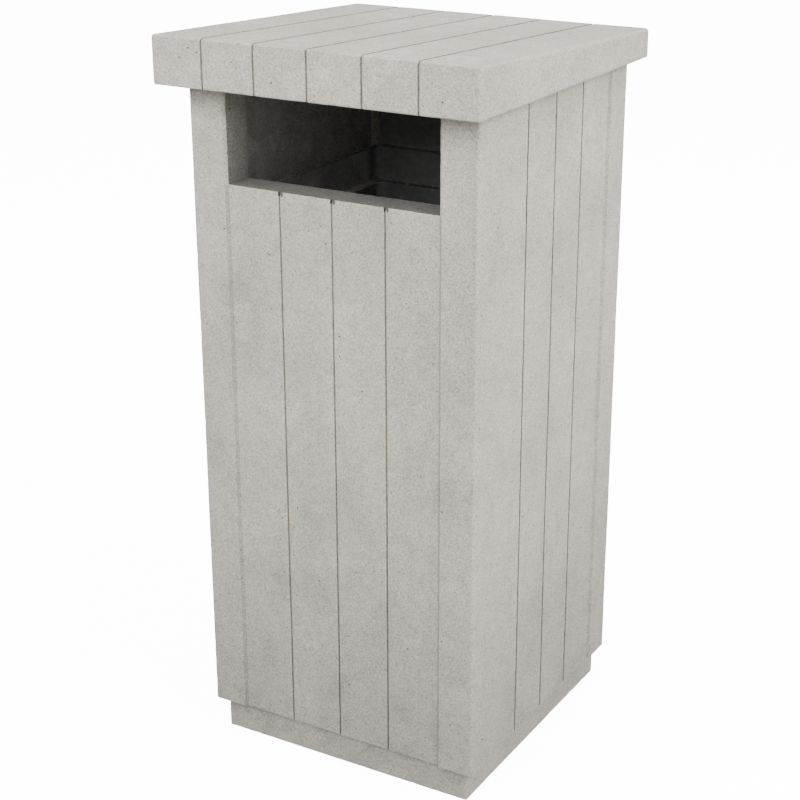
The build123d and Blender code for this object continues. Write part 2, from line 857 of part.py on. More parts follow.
def liner_bail():
    """Round-bar handle hinged across the collar, lying on the ledge at rest."""
    x = bail_half_width
    path = FilletPolyline((-x, -bail_eye_radius, 0), (-x, -bail_reach, 0), (x, -bail_reach, 0),
                          (x, -bail_eye_radius, 0), radius=bail_corner_round)
    start = Plane(origin=(-x, -bail_eye_radius, 0), z_dir=(0, -1, 0))
    bar = sweep(start * Circle(bail_rod_radius), path=path)
    for side in (-1, 1):
        outside = side * (x + bail_rod_radius)
        eye = rod((outside, 0, 0), (-side, 0, 0), bail_eye_radius, bail_eye_thickness)
        neck_x = sorted((outside, outside - side * bail_eye_thickness))
        neck = block(neck_x, (-bail_eye_radius - 6, 0), (-bail_rod_radius, bail_rod_radius))
        bar = bar + eye + neck
    bar -= rod((-2 * x, 0, 0), (1, 0, 0), bail_rod_radius + pivot_clearance, 4 * x)
    return Pos(0, 0, bail_pivot_z) * Rot(bail_slope, 0, 0) * bar


# --- Sub-parts -----------------------------------------------------------------

def each(make, stations):
    """One solid at each station."""
    return [make(station) for station in stations]


nodes = {
    "body_shell": body_shell(),
    "lid_slab": lid_slab(),
    "lid_bearing_pads": lid_bearing_pads(),
    "lid_brackets": [lid_bracket(side, y) for side, y in bracket_places()],
    "bracket_washers": bracket_washers(),
    "bracket_wall_bolts": [m10_bolt(wall_bolt_seat(side, y), (side, 0, 0), bracket_sheet + 26)
                           for side, y in bracket_places()],
    "bracket_lid_bolts": [m10_bolt(lid_bolt_seat(side, y), (0, 0, 1), bracket_sheet + 22)
                          for side, y in bracket_places()],
    "bracket_sockets": [socket(*place) for place in bracket_socket_places()],
    "lid_sockets": lid_sockets(),
    "hinge_fixed_leaves": each(hinge_fixed_leaf, hinge_stations),
    "hinge_pins": each(hinge_pin, hinge_stations),
    "hinge_wall_bolts": hinge_wall_bolts(),
    "hinge_sockets": [m8_socket(*place) for place in hinge_socket_places()],
    "hinge_door_leaves": each(hinge_door_leaf, hinge_stations),
    "hinge_door_rivets": hinge_door_rivets(),
    "door_outer_skin": door_outer_skin(),
    "door_inner_skin": door_inner_skin(),
    "door_stiffeners": each(stiffener, stiffener_stations),
    "door_skin_rivets": skin_rivets(),
    "door_stop_angles": each(stop_angle, stop_stations),
    "door_buffers": each(door_buffer, stop_stations),
    "lock_keeper": stop_angle(lock_z),
    "stop_bolts": stop_bolts(),
    "stop_sockets": [m8_socket(*place) for place in stop_socket_places()],
    "lock_case": lock_case(),
    "lock_case_nut": lock_case_nut(),
    "lock_spindle": lock_spindle(),
    "lock_cam": lock_cam(),
    "lock_cam_nut": lock_cam_nut(),
    "liner_runners": each(liner_runner, (-1, 1)),
    "runner_screws": runner_screws(),
    "runner_plugs": runner_plugs(),
    "liner_body": liner_body(),
    "liner_collar": liner_collar(),
    "collar_rivets": collar_rivets(),
    "bail_pivots": each(bail_pivot, (-1, 1)),
    "liner_bail": liner_bail(),
}

os.makedirs("parts", exist_ok=True)
for name, shape in nodes.items():
    solids = shape if isinstance(shape, list) else [shape]
    whole = solids[0] if len(solids) == 1 else Compound(children=solids)
    export_step(whole, "parts/" + name + ".step")
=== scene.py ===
import json
import math
import random

import bmesh
import bpy
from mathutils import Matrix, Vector, noise


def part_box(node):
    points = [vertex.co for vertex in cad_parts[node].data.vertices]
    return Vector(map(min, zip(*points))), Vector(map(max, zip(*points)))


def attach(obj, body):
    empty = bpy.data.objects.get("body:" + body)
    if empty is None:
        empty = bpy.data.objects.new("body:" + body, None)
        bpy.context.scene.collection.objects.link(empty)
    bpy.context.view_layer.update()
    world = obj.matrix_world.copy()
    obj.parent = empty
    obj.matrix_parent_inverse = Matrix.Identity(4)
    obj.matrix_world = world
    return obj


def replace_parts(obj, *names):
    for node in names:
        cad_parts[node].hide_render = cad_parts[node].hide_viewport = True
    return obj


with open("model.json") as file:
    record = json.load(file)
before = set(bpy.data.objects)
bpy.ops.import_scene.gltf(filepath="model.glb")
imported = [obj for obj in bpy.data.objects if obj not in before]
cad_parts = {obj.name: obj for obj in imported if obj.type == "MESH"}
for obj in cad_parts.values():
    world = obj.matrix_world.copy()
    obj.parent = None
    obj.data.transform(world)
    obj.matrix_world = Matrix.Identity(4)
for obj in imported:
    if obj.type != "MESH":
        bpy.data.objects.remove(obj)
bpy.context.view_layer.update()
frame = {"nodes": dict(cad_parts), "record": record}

# Litter bin of precast concrete with a plank pattern. The waste slot faces -Y.
# The castings are worked out in millimetres and turned into metres at the end.

MM = 0.001


def millimetres(node):
    """Lowest and highest corner of a CAD node in millimetres."""
    low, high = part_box(node)
    return low / MM, high / MM


# --- Sizes of the castings, in millimetres ------------------------------------

_, BODY_HIGH = millimetres("body_shell")
LID_LOW, LID_HIGH = millimetres("lid_slab")
RUNNER_LOW, _ = millimetres("liner_runners")
DOOR_LOW, _ = millimetres("door_inner_skin")
_, COLLAR_HIGH = millimetres("liner_collar")

half_width = BODY_HIGH.x
half_depth = BODY_HIGH.y
body_top = BODY_HIGH.z
wall = 57
post_width = 61
panel_recess = 4.5
planks = 4
arris = 1.5
crease_reach = 2.6
corner_round = 6
inner_round = 10
sill_height = 968
plinth_height = 56
plinth_side_inset = 17
plinth_front_inset = 14
plinth_back_inset = 8
plinth_round = 4
plinth_edge_round = 2
floor_top = RUNNER_LOW.z
anchor_offset = 140
anchor_radius = 9
drain_radius = 25
anchor_sides = 24
drain_sides = 40
edge_round = 1.3

# Painted shadow marks where the panel's joints end under the sill: the length of their legs, the
# height of the bar across them, how far they reach to the right and where they are gone.
head_leg = 6
head_bar = 3.6
head_reach = 6.2
head_clear = 7.4
HEAD_LEVELS = (head_leg + 1.5, head_leg - 0.1, head_bar + 0.5, head_bar - 0.1)

lid_half_width = LID_HIGH.x
lid_front = LID_LOW.y
lid_back = LID_HIGH.y
lid_underside = LID_LOW.z
lid_front_height = LID_HIGH.z - LID_LOW.z
lid_back_height = 46.5
lid_boards = 6
lid_board_pitch = 91.3
lid_plan_round = 5
lid_side_round = 7
lid_lower_round = 4
lid_edge_round = 3
drip_radius = 4
drip_inset = 13
drip_end = 24

inner_half_width = half_width - wall
slot_half_width = half_width - post_width - panel_recess
panel_face = -half_depth + panel_recess
inner_front = -half_depth + wall
threshold = half_depth - panel_recess
door_face = DOOR_LOW.y

# Longest edge of a face, pieces in the arc of an edge, and the gap below which points merge.
grid_step = 8.0
EDGE_STEPS = 3
CORNER_STEPS = 6
PLAN_STEPS = 8
MERGE_GAP = 0.01

# Depth of a plank joint at distances from its middle: soft shoulders, steep sides.
JOINT_DEPTH = 4.5
BODY_JOINT = [(-4.6, 0), (-3.3, 0.05), (-2.4, 0.1), (-1.7, 0.4), (-1.25, 1.2), (-1.0, 3.9),
              (0, JOINT_DEPTH), (1.0, 3.9), (1.25, 1.2), (1.7, 0.4), (2.4, 0.1), (3.3, 0.05),
              (4.6, 0)]
LID_JOINT = [(-3.4, 0), (-2.5, 0.1), (-1.9, 0.4), (-1.5, 1.2), (-1.25, 3.9), (0, JOINT_DEPTH),
             (1.25, 3.9), (1.5, 1.2), (1.9, 0.4), (2.5, 0.1), (3.4, 0)]


# --- Lines and sheets of points ------------------------------------------------

def divided(start, end, step):
    """Points after the start and before the end of a straight run."""
    parts = max(1, round((end - start).length / step))
    return [start.lerp(end, k / parts) for k in range(1, parts)]


def arc(corner, before, after, radius):
    """Points of the arc that rounds a corner of a line."""
    a = (before - corner).normalized()
    b = (after - corner).normalized()
    half = a.angle(b) / 2
    centre = corner + (a + b).normalized() * (radius / math.sin(half))
    reach = radius / math.tan(half)
    first = corner + a * reach - centre
    last = corner + b * reach - centre
    steps = EDGE_STEPS if radius < 3 else CORNER_STEPS
    return [centre + first.slerp(last, k / steps).normalized() * radius for k in range(steps + 1)]


def rounded_line(corners, closed=False):
    """Points along a line of (x, y, radius) corners, its straight runs divided."""
    places = [Vector((x, y)) for x, y, _ in corners]
    count = len(corners)
    groups = []
    for i, (_, _, radius) in enumerate(corners):
        at_end = not closed and i in (0, count - 1)
        if radius == 0 or at_end:
            groups.append([places[i]])
        else:
            groups.append(arc(places[i], places[i - 1], places[(i + 1) % count], radius))
    points = []
    for i, group in enumerate(groups):
        points += group
        if closed or i < count - 1:
            points += divided(group[-1], groups[(i + 1) % count][0], grid_step)
    return points


def side_normals(points, closed=False):
    """Unit vectors to the right of a line at each of its points."""
    normals = []
    last = len(points) - 1
    for i, point in enumerate(points):
        before = points[i - 1] if closed or i > 0 else point
        after = points[(i + 1) % (last + 1)] if closed or i < last else point
        run = (after - before).normalized()
        normals.append(Vector((run.y, -run.x)))
    return normals


def quads(mesh, rows):
    """Makes the faces of a sheet given as rows of points."""
    made = [[mesh.verts.new(point) for point in row] for row in rows]
    for low, high in zip(made, made[1:]):
        for i in range(len(low) - 1):
            mesh.faces.new((low[i], low[i + 1], high[i + 1], high[i]))


def upright_sheet(mesh, line, heights, sign=1, closed=False):
    """Makes a sheet of a line raised through heights of (z, inset), and gives its rows. The
    inset moves it into the concrete. The ends of an open line are held where they are."""
    normals = side_normals(line, closed)
    last = len(line) - 1
    rows = []
    for z, inset in heights:
        row = []
        for i, (point, normal) in enumerate(zip(line, normals)):
            move = 0 if not closed and i in (0, last) else inset * sign
            place = point + normal * move
            row.append(Vector((place.x, place.y, z)))
        if closed:
            row.append(row[0])
        rows.append(row)
    quads(mesh, rows)
    return rows


def flat_face(mesh, loops, z):
    """Fills a level face between one outline and the outlines of its holes."""
    edges = []
    for loop in loops:
        made = [mesh.verts.new((point.x, point.y, z)) for point in loop]
        edges += [mesh.edges.new((made[i - 1], made[i])) for i in range(len(made))]
    bmesh.ops.triangle_fill(mesh, use_beauty=True, use_dissolve=False, edges=edges)


def circle(x, y, radius, count):
    """Points round a circle."""
    turns = [2 * math.pi * k / count for k in range(count)]
    return [Vector((x + radius * math.cos(t), y + radius * math.sin(t))) for t in turns]


def mirrored(line):
    """The line on the other side of x = 0, with its direction kept."""
    return [Vector((-point.x, point.y)) for point in reversed(line)]


def levels(low, high, low_round=0.0, high_round=0.0):
    """Heights of (z, inset) from low to high, with rounded ends."""
    turns = [math.pi / 2 * k / EDGE_STEPS for k in range(EDGE_STEPS)]
    rows = []
    if low_round:
        for turn in turns:
            rows.append((low + low_round * (1 - math.cos(turn)), low_round * (1 - math.sin(turn))))
    start, end = low + low_round, high - high_round
    parts = max(1, round((end - start) / grid_step))
    rows += [(start + (end - start) * k / parts, 0.0) for k in range(parts + 1)]
    if high_round:
        for turn in reversed(turns):
            inset = high_round * (1 - math.sin(turn))
            rows.append((high - high_round * (1 - math.cos(turn)), inset))
    return rows


def without_inset(rows):
    """The same heights on a sheet without rounded ends."""
    return [(z, 0.0) for z, _ in rows]


# --- Body ------------------------------------------------------------------------

def joint_line(middle, surface):
    """Corners of one joint, as (along, depth, radius)."""
    return [(middle + offset, surface + depth, 0) for offset, depth in BODY_JOINT]


def face_corners(half_length):
    """Corners of one face of the body, as (along, depth, radius), left to right."""
    shoulder = half_length - post_width
    edge = shoulder - panel_recess
    pitch = 2 * edge / planks
    corners = [(-half_length, 0, corner_round), (-shoulder, 0, arris),
               (-edge, panel_recess, arris), (-edge + crease_reach, panel_recess, 0)]
    for joint in range(1, planks):
        corners += joint_line(-edge + joint * pitch, panel_recess)
    return corners + [(edge - crease_reach, panel_recess, 0), (edge, panel_recess, arris),
                      (shoulder, 0, arris)]


def body_mesh():
    """The whole casting as sheets that share their borders."""
    mesh = bmesh.new()
    full_face = face_corners(half_depth)
    side = [(v - half_width, -u, r) for u, v, r in full_face]
    outer_line = rounded_line(
        [(-inner_half_width, threshold, 0), (-inner_half_width, half_depth, arris)] + side
        + [(-half_width, -half_depth, corner_round),
           (-half_width + post_width, -half_depth, arris),
           (-slot_half_width - arris, panel_face - arris, 0),
           (-slot_half_width, panel_face, 0)])
    pitch = 2 * slot_half_width / planks
    panel_corners = [(-slot_half_width, panel_face, 0),
                     (-slot_half_width + crease_reach, panel_face, 0)]
    for joint in range(1, planks):
        middle = -slot_half_width + joint * pitch
        panel_corners += ([(middle - head_clear, panel_face, 0)]
                          + joint_line(middle, panel_face)
                          + [(middle + head_reach, panel_face, 0),
                             (middle + head_clear, panel_face, 0)])
    panel_line = rounded_line(panel_corners + [(slot_half_width - crease_reach, panel_face, 0),
                                               (slot_half_width, panel_face, 0)])

    # The inner corner is an arc, which the slot's jamb cuts near its front end.
    centre = Vector((-inner_half_width + inner_round, inner_front + inner_round))
    cut = math.acos((-slot_half_width - centre.x) / inner_round)
    turns = [math.pi + (math.pi - cut) * k / CORNER_STEPS for k in range(CORNER_STEPS + 1)]
    inner_arc = [centre + inner_round * Vector((math.cos(t), math.sin(t))) for t in turns]
    inner_start = Vector((-inner_half_width, threshold))
    inner_line = [inner_start] + divided(inner_start, inner_arc[0], grid_step) + inner_arc
    front_start, front_end = centre - Vector((0, inner_round)), Vector((-centre.x, inner_front))
    back_of_front = ([inner_arc[-1], front_start] + divided(front_start, front_end, grid_step)
                     + [front_end, Vector((-inner_arc[-1].x, inner_arc[-1].y))])
    jamb_start, jamb_end = outer_line[-1], inner_arc[-1]
    jamb_line = [jamb_start] + divided(jamb_start, jamb_end, grid_step) + [jamb_end]

    below_floor = levels(plinth_height, floor_top, low_round=edge_round)
    to_sill = levels(floor_top, sill_height, high_round=edge_round)
    before_round = -1 - EDGE_STEPS
    to_sill[before_round:before_round] = [(sill_height - drop, 0.0) for drop in HEAD_LEVELS]
    above_sill = levels(sill_height, body_top, high_round=edge_round)
    low = below_floor + to_sill[1:]
    outer_levels = below_floor + without_inset(to_sill[1:]) + above_sill[1:]
    inner_levels = without_inset(to_sill) + above_sill[1:]

    tops = []
    under = []
    for flip in (False, True):
        outer = mirrored(outer_line) if flip else outer_line
        inner = mirrored(inner_line) if flip else inner_line
        jamb = mirrored(jamb_line) if flip else jamb_line
        outer_rows = upright_sheet(mesh, outer, outer_levels, sign=-1)
        inner_rows = upright_sheet(mesh, inner, inner_levels)
        jamb_rows = upright_sheet(mesh, jamb, without_inset(above_sill))
        tops.append((outer_rows[-1], inner_rows[-1], jamb_rows[-1]))
        under.append(outer_rows[0])
    panel_rows = upright_sheet(mesh, panel_line, low, sign=-1)
    front_rows = upright_sheet(mesh, back_of_front, to_sill)
    sheet = [Vector((-inner_half_width, threshold)), Vector((inner_half_width, threshold))]
    sheet = [sheet[0]] + divided(*sheet, grid_step) + [sheet[1]]
    upright_sheet(mesh, sheet, without_inset(below_floor))

    # Level faces: wall tops, sill, floor and the underside round the plinth.
    left, right = tops
    flat_face(mesh, [left[0] + left[2][1:] + left[1][::-1][1:-1]], body_top)
    flat_face(mesh, [right[0] + right[1][::-1][1:] + right[2][1:-1]], body_top)
    side_jamb = [Vector((p.x, p.y)) for p in jamb_line[1:-1]]
    other_jamb = [Vector((-p.x, p.y)) for p in jamb_line[1:-1]]
    flat_face(mesh, [panel_rows[-1] + other_jamb + front_rows[-1][::-1] + side_jamb[::-1]],
              sill_height)
    plinth = rounded_line(
        [(-half_width + plinth_side_inset, -half_depth + plinth_front_inset, plinth_round),
         (half_width - plinth_side_inset, -half_depth + plinth_front_inset, plinth_round),
         (half_width - plinth_side_inset, half_depth - plinth_back_inset, plinth_round),
         (-half_width + plinth_side_inset, half_depth - plinth_back_inset, plinth_round)],
        closed=True)
    plinth_levels = levels(0, plinth_height, low_round=plinth_edge_round)
    plinth_rows = upright_sheet(mesh, plinth, plinth_levels, sign=-1, closed=True)
    outline = under[0] + panel_rows[0][1:-1] + under[1] + sheet[1:-1][::-1]
    flat_face(mesh, [outline, plinth_rows[-1][:-1]], plinth_height)
    holes = [circle(x, y, anchor_radius, anchor_sides) for x in (-anchor_offset, anchor_offset)
             for y in (-anchor_offset, anchor_offset)]
    holes.append(circle(0, 0, drain_radius, drain_sides))
    for hole in holes:
        upright_sheet(mesh, hole, without_inset(levels(0, floor_top)), closed=True)
    flat_face(mesh, [plinth_rows[0][:-1]] + holes, 0)
    floor = (inner_line + back_of_front[1:-1] + mirrored(inner_line)
             + sheet[1:-1][::-1])
    flat_face(mesh, [floor] + holes, floor_top)
    bmesh.ops.remove_doubles(mesh, verts=mesh.verts[:], dist=MERGE_GAP)
    bmesh.ops.recalc_face_normals(mesh, faces=mesh.faces[:])
    return mesh


# --- Lid -------------------------------------------------------------------------

def lid_height(y):
    """Thickness of the lid at a distance from front to back."""
    share = (y - lid_front) / (lid_back - lid_front)
    return lid_front_height + (lid_back_height - lid_front_height) * share


def stations(low, high, marks):
    """Places from low to high through the marks, with wide gaps divided."""
    fixed = sorted(set([low, high] + [m for m in marks if low < m < high]))
    smallest_gap = 0.12
    kept = [fixed[0]]
    for mark in fixed[1:]:
        if mark - kept[-1] > smallest_gap:
            kept.append(mark)
    kept[-1] = high
    places = []
    for a, b in zip(kept, kept[1:]):
        parts = max(1, round((b - a) / grid_step))
        places += [a + (b - a) * k / parts for k in range(parts)]
    return places + [high]


def quarter_drop(distance, radius):
    """How far a rounded edge falls short at a distance from its end."""
    if distance >= radius:
        return 0.0
    return radius - math.sqrt(radius ** 2 - (radius - distance) ** 2)


def joint_depth(x):
    """Depth of the joints between the lid's boards at x."""
    for joint in range(1, lid_boards):
        offset = x - (-lid_half_width + joint * lid_board_pitch)
        for (a, low), (b, high) in zip(LID_JOINT, LID_JOINT[1:]):
            if a <= offset <= b:
                return low + (high - low) * (offset - a) / (b - a)
    return 0.0


def drip_depth(x, y):
    """Depth of the drip groove in the underside."""
    side = lid_half_width - drip_inset
    front = lid_front + drip_inset
    near_side = abs(abs(x) - side) if front <= y <= lid_back - drip_end else math.inf
    near_front = abs(y - front) if abs(x) <= side else math.inf
    near_corner = math.hypot(abs(x) - side, y - front)
    distance = min(near_side, near_front, near_corner)
    return math.sqrt(max(0.0, drip_radius ** 2 - distance ** 2))


def rounded_corner(a, b, radius):
    """Moves a point that lies a and b inside two faces onto their rounded edge."""
    if a >= radius or b >= radius:
        return a, b
    reach = math.hypot(radius - a, radius - b)
    return (radius - (radius - a) * radius / reach, radius - (radius - b) * radius / reach)


def fitted(place, full, length):
    """A station of a full length moved to a shorter length, its ends kept."""
    keep = lid_edge_round * 1.05
    if place <= keep:
        return place
    if place >= full - keep:
        return length - (full - place)
    return keep + (place - keep) * (length - 2 * keep) / (full - 2 * keep)


def lid_mesh():
    """Sections of the lid across the boards, joined from side to side."""
    mesh = bmesh.new()
    edge_marks = [lid_edge_round * (1 - math.tan(math.radians(t))) for t in (0, 15, 30, 45)]
    full_depth = lid_back - lid_front
    groove = [drip_inset + drip_radius * math.sin(math.radians(t)) for t in range(-90, 91, 18)]
    columns = []
    for k in range(PLAN_STEPS + 1):
        columns.append(lid_plan_round * (1 - math.cos(math.pi / 2 * k / PLAN_STEPS)))
    columns += groove
    marks = [side * (lid_half_width - c) for c in columns for side in (-1, 1)]
    for joint in range(1, lid_boards):
        marks += [-lid_half_width + joint * lid_board_pitch + offset for offset, _ in LID_JOINT]
    xs = stations(-lid_half_width, lid_half_width, marks)
    groove_end = full_depth - drip_end
    ys = stations(0, full_depth, edge_marks + [full_depth - m for m in edge_marks]
                  + groove + [groove_end - 1.0, groove_end + 0.2])
    zs = stations(0, lid_front_height, edge_marks + [lid_front_height - m for m in edge_marks])

    def point(x, i, j):
        """Point at station i up the front or back and j along the top or underside."""
        end = lid_half_width - abs(x)
        inset = quarter_drop(end, lid_plan_round) + joint_depth(x)
        drop = quarter_drop(end, lid_side_round) + joint_depth(x)
        rise = quarter_drop(end, lid_lower_round)
        depth = full_depth - 2 * inset
        a = fitted(ys[j], full_depth, depth)
        y = lid_front + inset + a
        height = lid_height(y) - drop - rise
        b = fitted(zs[i], lid_front_height, height)
        from_front, from_back = a, depth - a
        from_low, from_top = b, height - b
        upper = from_top < from_low
        vertical = from_top if upper else from_low
        if from_front < from_back:
            horizontal, vertical = rounded_corner(from_front, vertical, lid_edge_round)
            y = lid_front + inset + horizontal
        else:
            horizontal, vertical = rounded_corner(from_back, vertical, lid_edge_round)
            y = lid_back - inset - horizontal
        z = lid_underside + rise + (height - vertical if upper else vertical)
        if i == 0:
            z += drip_depth(x, y)
        return Vector((x, y, z))

    rows, cols = len(zs) - 1, len(ys) - 1
    ring = ([(i, 0) for i in range(rows)] + [(rows, j) for j in range(cols)]
            + [(i, cols) for i in range(rows, 0, -1)] + [(0, j) for j in range(cols, 0, -1)])
    sections = [[point(x, i, j) for i, j in ring + ring[:1]] for x in xs]
    quads(mesh, sections)
    for x in (xs[0], xs[-1]):
        quads(mesh, [[point(x, i, j) for j in range(cols + 1)] for i in range(rows + 1)])
    bmesh.ops.remove_doubles(mesh, verts=mesh.verts[:], dist=MERGE_GAP)
    bmesh.ops.recalc_face_normals(mesh, faces=mesh.faces[:])
    return mesh


# --- Cast surface ------------------------------------------------------------------

# Dirt and painted shade, as a share of a joint's depth: less of it on the front than on the sides.
FRONT_DIRT_AND_SHADE = 0.24
SIDE_DIRT_AND_SHADE = 0.85
CHAMFER_SHADE = 0.34
SIDE_CHAMFER_SHADE = 0.22
HEAD_SHADOW = 1.0
LID_FRONT_DIRT_AND_SHADE = 0.3
LID_TOP_DIRT_AND_SHADE = 1.0
SIDE_DIRT_AND_SHADE_RISE = 5.0
LID_DIRT_AND_SHADE_RISE = 9.0

# Half the width of a chamfer's painted shade, and where it starts in from the post's face.
CHAMFER_REACH = 2.6
CHAMFER_START = 0.3


def mark_grime_and_shade(mesh, dirt_and_shade_at):
    """Marks how much dirt and painted shade each point gets, from 0 to 1, given as a depth in a
    joint.
    """
    layer = mesh.verts.layers.float.new("grime_and_shade")
    for vert in mesh.verts:
        vert[layer] = min(1.0, max(0.0, dirt_and_shade_at(vert.co) / JOINT_DEPTH))


def dirt_and_shade_in(depth, share, rise):
    """Dirt and painted shade at a depth in a joint: it starts from just under the edges."""
    return share * min(JOINT_DEPTH, max(0.0, depth) * rise)


def body_dirt_and_shade(place):
    """Dirt and painted shade in the joints, painted shade on the posts' chamfers and painted
    shadow at joint heads, at a point of the body.
    """
    across, along = abs(place.x), abs(place.y)
    edge = half_depth - post_width - panel_recess
    recess = place.y + half_depth
    depth = half_width - across
    below_sill = sill_height - place.z
    joint_floor = panel_recess + JOINT_DEPTH + 1.5
    if across < slot_half_width - 1 and recess < joint_floor and below_sill > 0.1:
        beside = min((place.x - k * slot_half_width / 2 for k in (-1, 0, 1)), key=abs)
        in_head = -2.2 < beside < head_reach + 0.5
        in_leg = in_head and not 1 <= beside <= 3
        # Painted shadow where a joint ends under the sill.
        if below_sill < head_leg and in_leg or below_sill < head_bar and in_head:
            return HEAD_SHADOW * JOINT_DEPTH
        return FRONT_DIRT_AND_SHADE * (recess - panel_recess)
    # Painted shade on the chamfers of the posts beside the front panels.
    on_front_chamfer = abs(across - slot_half_width - panel_recess / 2) < CHAMFER_REACH
    if on_front_chamfer and CHAMFER_START < recess < panel_recess + 0.1 and below_sill > 0:
        return CHAMFER_SHADE * JOINT_DEPTH
    if depth > joint_floor or place.z < plinth_height:
        return 0.0
    if along < edge - 1:
        return dirt_and_shade_in(depth - panel_recess, SIDE_DIRT_AND_SHADE, SIDE_DIRT_AND_SHADE_RISE)
    # Painted shade on the chamfers of the posts beside the side panels.
    on_side_chamfer = abs(along - edge - panel_recess / 2) < CHAMFER_REACH
    if on_side_chamfer and CHAMFER_START < depth < panel_recess + 0.1:
        return SIDE_CHAMFER_SHADE * JOINT_DEPTH
    return 0.0


def lid_dirt_and_shade(place):
    """Dirt and painted shade in the lid's joints, with less of it on the upright front."""
    if place.z < lid_underside + 0.5:
        return 0.0
    if place.y < lid_front + 6:
        return LID_FRONT_DIRT_AND_SHADE * joint_depth(place.x)
    return dirt_and_shade_in(joint_depth(place.x), LID_TOP_DIRT_AND_SHADE, LID_DIRT_AND_SHADE_RISE)


# Air holes: points round the rim, rings of (share of the radius, share of the depth), how
# much they wander, and the shortest edge of a face that is wide enough for one.
RIM_POINTS = 8
HOLE_RINGS = ((1.0, 0.0), (0.86, 0.55), (0.5, 0.9))
HOLE_SHIFT = 0.12
HOLE_WOBBLE = 0.16
HOLE_SHADE = 0.9
HOLE_RADII = (0.7, 0.8, 1.0, 1.2, 1.5, 1.9)
HOLE_FACE = 6.2


def punch(mesh, face, radius, depth, rng):
    """Cuts a round air hole with a rounded bottom into one quad."""
    # The points of the hole get painted shade, darker deeper down.
    grime_and_shade = mesh.verts.layers.float["grime_and_shade"]
    corners = [v.co.copy() for v in face.verts]
    u = (corners[1] - corners[0]).normalized()
    n = face.normal.copy()
    v = n.cross(u)
    shift = [0.5 + HOLE_SHIFT * rng.uniform(-1, 1) for _ in range(2)]
    low = corners[0].lerp(corners[1], shift[0])
    high = corners[3].lerp(corners[2], shift[0])
    centre = low.lerp(high, shift[1])
    verts = list(face.verts)
    made = []
    rings = []
    for share, sink in HOLE_RINGS:
        ring = []
        for k in range(RIM_POINTS):
            turn = math.radians(225 + 360 / RIM_POINTS * k)
            reach = radius * share * (1 + HOLE_WOBBLE * rng.uniform(-1, 1))
            place = centre + u * reach * math.cos(turn) + v * reach * math.sin(turn)
            ring.append(mesh.verts.new(place - n * depth * sink))
            ring[-1][grime_and_shade] = HOLE_SHADE * sink
        rings.append(ring)
    bottom = mesh.verts.new(centre - n * depth)
    bottom[grime_and_shade] = 1.0
    rim = rings[0]
    for side in range(4):
        a, b = verts[side], verts[(side + 1) % 4]
        first, middle, last = (rim[(2 * side + k) % RIM_POINTS] for k in range(3))
        made.append(mesh.faces.new((a, b, middle)))
        made.append(mesh.faces.new((a, middle, first)))
        made.append(mesh.faces.new((b, last, middle)))
    for upper, lower in zip(rings, rings[1:]):
        for k in range(RIM_POINTS):
            after = (k + 1) % RIM_POINTS
            made.append(mesh.faces.new((upper[k], upper[after], lower[after], lower[k])))
    for k in range(RIM_POINTS):
        after = (k + 1) % RIM_POINTS
        made.append(mesh.faces.new((rings[-1][k], rings[-1][after], bottom)))
    for new_face in made:
        new_face.material_index = face.material_index
    mesh.faces.remove(face)


def air_holes(mesh, count, seed, allowed):
    """Cuts the small holes that air left in the cast faces."""
    rng = random.Random(seed)
    wide = []
    for face in mesh.faces:
        if len(face.verts) != 4 or not allowed(face.calc_center_median(), face.normal):
            continue
        if min(edge.calc_length() for edge in face.edges) > HOLE_FACE:
            wide.append(face)
    for face in rng.sample(wide, count):
        radius = rng.choice(HOLE_RADII)
        punch(mesh, face, radius, radius * rng.uniform(0.9, 1.3), rng)


# Lengths of the waves, the ripples and the worn spots of an uneven face, in millimetres.
WAVE_LENGTH = 170
RIPPLE_LENGTH = 38
WEAR_LENGTH = 14


def uneven(mesh, wave, ripple):
    """Moves the surface a little, as it comes out of a timber mould, and wears its edges."""
    sharp_turn = 0.25
    sharp = set()
    for edge in mesh.edges:
        if len(edge.link_faces) == 2 and edge.calc_face_angle_signed(0) > sharp_turn:
            sharp.update(edge.verts)
    moves = {}
    for vert in mesh.verts:
        place = vert.co
        move = (noise.noise_vector(place / WAVE_LENGTH) * wave
                + noise.noise_vector(place / RIPPLE_LENGTH) * ripple)
        if vert in sharp:
            lit_left = max(0.0, noise.noise(place / WEAR_LENGTH) - 0.25) * 1.6
            move -= vert.normal * lit_left
        moves[vert] = move
    for vert, move in moves.items():
        vert.co += move
        vert.co.z = max(0.0, vert.co.z)


def even_normals(piece):
    """Keeps flat faces flat in the light, next to their rounded edges."""
    weighted = piece.modifiers.new("even_normals", "WEIGHTED_NORMAL")
    weighted.keep_sharp = True


def finished(mesh, name, materials):
    """Turns a mesh in millimetres into an object in metres."""
    bmesh.ops.scale(mesh, vec=(MM, MM, MM), verts=mesh.verts[:])
    data = bpy.data.meshes.new(name)
    mesh.to_mesh(data)
    mesh.free()
    data.shade_smooth()
    data.set_sharp_from_angle(angle=math.radians(40))
    for material in materials:
        data.materials.append(material)
    piece = bpy.data.objects.new(name, data)
    bpy.context.scene.collection.objects.link(piece)
    even_normals(piece)
    return piece


# --- Materials -----------------------------------------------------------------------

# The grain is turned off the axes, so that it's equally strong on every flat face.
GRAIN_TURN = (0.47, 0.71, 0.33)


